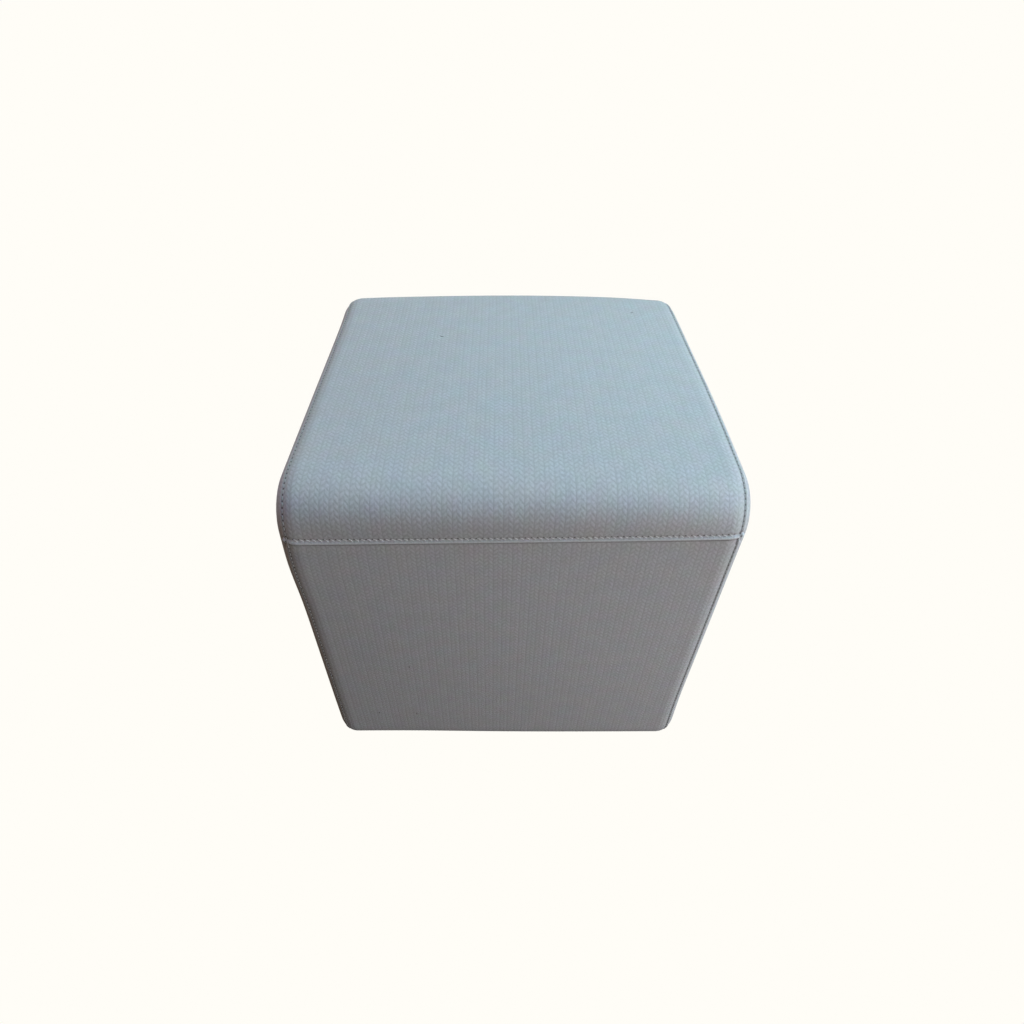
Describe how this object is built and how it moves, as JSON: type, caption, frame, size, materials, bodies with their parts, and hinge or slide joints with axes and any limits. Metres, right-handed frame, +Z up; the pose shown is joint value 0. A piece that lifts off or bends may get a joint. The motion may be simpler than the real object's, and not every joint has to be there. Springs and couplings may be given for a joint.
{
  "type": "cube pouf stool",
  "caption": "Upholstered cube pouf with a seat panel that falls over the front and back in a soft round roll, cross seams below it and contour seams along the sides.",
  "frame": {"origin": "on the floor, under the middle of the cube", "axes": "+Z up; the front, with the cross seam under the seat's roll, faces -Y; +X is to the right as seen from the front"},
  "size_m": [0.4488, 0.447, 0.4519],
  "materials": {
    "woven_cloth": "matt broken-twill weave in ribs, light grey blue, with top-stitching in the same colour",
    "foam_filling": "plain soft filling, hidden by the cover"
  },
  "bodies": {
    "root": {"filled_body": "foam_filling", "top_panel": "woven_cloth", "front_panel": "woven_cloth", "back_panel": "woven_cloth", "side_panel_left": "woven_cloth", "side_panel_right": "woven_cloth", "base_panel": "woven_cloth"}
  },
  "joints": []
}
